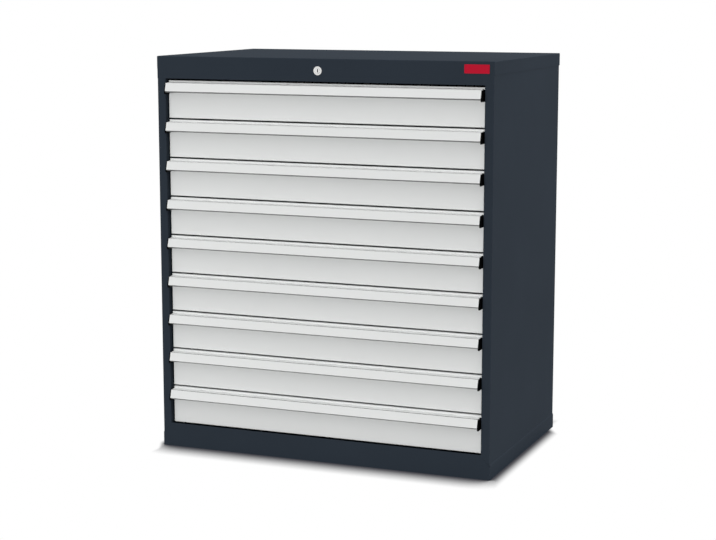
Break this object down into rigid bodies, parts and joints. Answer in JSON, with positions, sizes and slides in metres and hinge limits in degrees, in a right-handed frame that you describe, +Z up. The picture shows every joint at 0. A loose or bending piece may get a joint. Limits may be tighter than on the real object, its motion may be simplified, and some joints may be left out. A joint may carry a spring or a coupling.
{
  "type": "drawer cabinet",
  "caption": "Floor-standing workshop cabinet of folded steel with a plinth, full-extension drawers, full-width grip strips and one lock for all drawers.",
  "frame": {"origin": "on the floor, below the middle of the box from the handle lips to the back", "axes": "+X to the right as seen from the front, +Y to the back, +Z up"},
  "size_m": [0.902, 0.5828, 1.0202],
  "materials": {
    "case_paint": "fine-textured anthracite powder coat",
    "drawer_paint": "smooth light grey powder coat",
    "grip_paint": "smooth light grey coat",
    "cap_plastic": "black moulded plastic",
    "lock_metal": "bright nickel plating",
    "zinc_steel": "zinc plated steel"
  },
  "bodies": {
    "cabinet": {"top_cover": "case_paint", "left_side_panel": "case_paint", "right_side_panel": "case_paint", "back_panel": "case_paint", "base_plinth": "case_paint", "floor_pan": "case_paint", "slotted_posts": "case_paint", "left_runner_rails": "zinc_steel", "right_runner_rails": "zinc_steel", "lock_housing": "lock_metal", "lock_nut": "zinc_steel", "lock_guides": "zinc_steel"},
    "drawer_1": {"drawer_1_tray": "drawer_paint", "drawer_1_front": "drawer_paint", "drawer_1_handle": "grip_paint", "drawer_1_end_caps": "cap_plastic"},
    "drawer_1_slides": {"drawer_1_middle_rails": "zinc_steel"},
    "drawer_2": {"drawer_2_tray": "drawer_paint", "drawer_2_front": "drawer_paint", "drawer_2_handle": "grip_paint", "drawer_2_end_caps": "cap_plastic"},
    "drawer_2_slides": {"drawer_2_middle_rails": "zinc_steel"},
    "drawer_3": {"drawer_3_tray": "drawer_paint", "drawer_3_front": "drawer_paint", "drawer_3_handle": "grip_paint", "drawer_3_end_caps": "cap_plastic"},
    "drawer_3_slides": {"drawer_3_middle_rails": "zinc_steel"},
    "drawer_4": {"drawer_4_tray": "drawer_paint", "drawer_4_front": "drawer_paint", "drawer_4_handle": "grip_paint", "drawer_4_end_caps": "cap_plastic"},
    "drawer_4_slides": {"drawer_4_middle_rails": "zinc_steel"},
    "drawer_5": {"drawer_5_tray": "drawer_paint", "drawer_5_front": "drawer_paint", "drawer_5_handle": "grip_paint", "drawer_5_end_caps": "cap_plastic"},
    "drawer_5_slides": {"drawer_5_middle_rails": "zinc_steel"},
    "drawer_6": {"drawer_6_tray": "drawer_paint", "drawer_6_front": "drawer_paint", "drawer_6_handle": "grip_paint", "drawer_6_end_caps": "cap_plastic"},
    "drawer_6_slides": {"drawer_6_middle_rails": "zinc_steel"},
    "drawer_7": {"drawer_7_tray": "drawer_paint", "drawer_7_front": "drawer_paint", "drawer_7_handle": "grip_paint", "drawer_7_end_caps": "cap_plastic"},
    "drawer_7_slides": {"drawer_7_middle_rails": "zinc_steel"},
    "drawer_8": {"drawer_8_tray": "drawer_paint", "drawer_8_front": "drawer_paint", "drawer_8_handle": "grip_paint", "drawer_8_end_caps": "cap_plastic"},
    "drawer_8_slides": {"drawer_8_middle_rails": "zinc_steel"},
    "drawer_9": {"drawer_9_tray": "drawer_paint", "drawer_9_front": "drawer_paint", "drawer_9_handle": "grip_paint", "drawer_9_end_caps": "cap_plastic"},
    "drawer_9_slides": {"drawer_9_middle_rails": "zinc_steel"},
    "lock_core": {"lock_plug": "lock_metal", "lock_rod": "zinc_steel"},
    "lock_bar": {"lock_bar": "zinc_steel"}
  },
  "joints": [
    {"name": "drawer_1_slide", "type": "slide", "parent": "cabinet", "child": "drawer_1", "axis": [0, -1, 0], "range_m": [0, 0.47]},
    {"name": "drawer_1_middle_slide", "type": "slide", "parent": "cabinet", "child": "drawer_1_slides", "axis": [0, -1, 0], "range_m": [0, 0.235]},
    {"name": "drawer_2_slide", "type": "slide", "parent": "cabinet", "child": "drawer_2", "axis": [0, -1, 0], "range_m": [0, 0.47]},
    {"name": "drawer_2_middle_slide", "type": "slide", "parent": "cabinet", "child": "drawer_2_slides", "axis": [0, -1, 0], "range_m": [0, 0.235]},
    {"name": "drawer_3_slide", "type": "slide", "parent": "cabinet", "child": "drawer_3", "axis": [0, -1, 0], "range_m": [0, 0.47]},
    {"name": "drawer_3_middle_slide", "type": "slide", "parent": "cabinet", "child": "drawer_3_slides", "axis": [0, -1, 0], "range_m": [0, 0.235]},
    {"name": "drawer_4_slide", "type": "slide", "parent": "cabinet", "child": "drawer_4", "axis": [0, -1, 0], "range_m": [0, 0.47]},
    {"name": "drawer_4_middle_slide", "type": "slide", "parent": "cabinet", "child": "drawer_4_slides", "axis": [0, -1, 0], "range_m": [0, 0.235]},
    {"name": "drawer_5_slide", "type": "slide", "parent": "cabinet", "child": "drawer_5", "axis": [0, -1, 0], "range_m": [0, 0.47]},
    {"name": "drawer_5_middle_slide", "type": "slide", "parent": "cabinet", "child": "drawer_5_slides", "axis": [0, -1, 0], "range_m": [0, 0.235]},
    {"name": "drawer_6_slide", "type": "slide", "parent": "cabinet", "child": "drawer_6", "axis": [0, -1, 0], "range_m": [0, 0.47]},
    {"name": "drawer_6_middle_slide", "type": "slide", "parent": "cabinet", "child": "drawer_6_slides", "axis": [0, -1, 0], "range_m": [0, 0.235]},
    {"name": "drawer_7_slide", "type": "slide", "parent": "cabinet", "child": "drawer_7", "axis": [0, -1, 0], "range_m": [0, 0.47]},
    {"name": "drawer_7_middle_slide", "type": "slide", "parent": "cabinet", "child": "drawer_7_slides", "axis": [0, -1, 0], "range_m": [0, 0.235]},
    {"name": "drawer_8_slide", "type": "slide", "parent": "cabinet", "child": "drawer_8", "axis": [0, -1, 0], "range_m": [0, 0.47]},
    {"name": "drawer_8_middle_slide", "type": "slide", "parent": "cabinet", "child": "drawer_8_slides", "axis": [0, -1, 0], "range_m": [0, 0.235]},
    {"name": "drawer_9_slide", "type": "slide", "parent": "cabinet", "child": "drawer_9", "axis": [0, -1, 0], "range_m": [0, 0.47]},
    {"name": "drawer_9_middle_slide", "type": "slide", "parent": "cabinet", "child": "drawer_9_slides", "axis": [0, -1, 0], "range_m": [0, 0.235]},
    {"name": "lock_turn", "type": "hinge", "parent": "cabinet", "child": "lock_core", "pos_m": [-0.0036, -0.27665, 0.9904], "axis": [0, 1, 0], "range_deg": [0, 90]},
    {"name": "lock_bar_slide", "type": "slide", "parent": "cabinet", "child": "lock_bar", "axis": [-1, 0, 0], "range_m": [0, 0.01697]}
  ],
  "couplings": [
    {"joint": "drawer_1_middle_slide", "follows": "drawer_1_slide", "ratio": 0.5},
    {"joint": "drawer_2_middle_slide", "follows": "drawer_2_slide", "ratio": 0.5},
    {"joint": "drawer_3_middle_slide", "follows": "drawer_3_slide", "ratio": 0.5},
    {"joint": "drawer_4_middle_slide", "follows": "drawer_4_slide", "ratio": 0.5},
    {"joint": "drawer_5_middle_slide", "follows": "drawer_5_slide", "ratio": 0.5},
    {"joint": "drawer_6_middle_slide", "follows": "drawer_6_slide", "ratio": 0.5},
    {"joint": "drawer_7_middle_slide", "follows": "drawer_7_slide", "ratio": 0.5},
    {"joint": "drawer_8_middle_slide", "follows": "drawer_8_slide", "ratio": 0.5},
    {"joint": "drawer_9_middle_slide", "follows": "drawer_9_slide", "ratio": 0.5},
    {"joint": "lock_turn", "follows": "lock_bar_slide", "rad_per_m": 92.5}
  ]
}
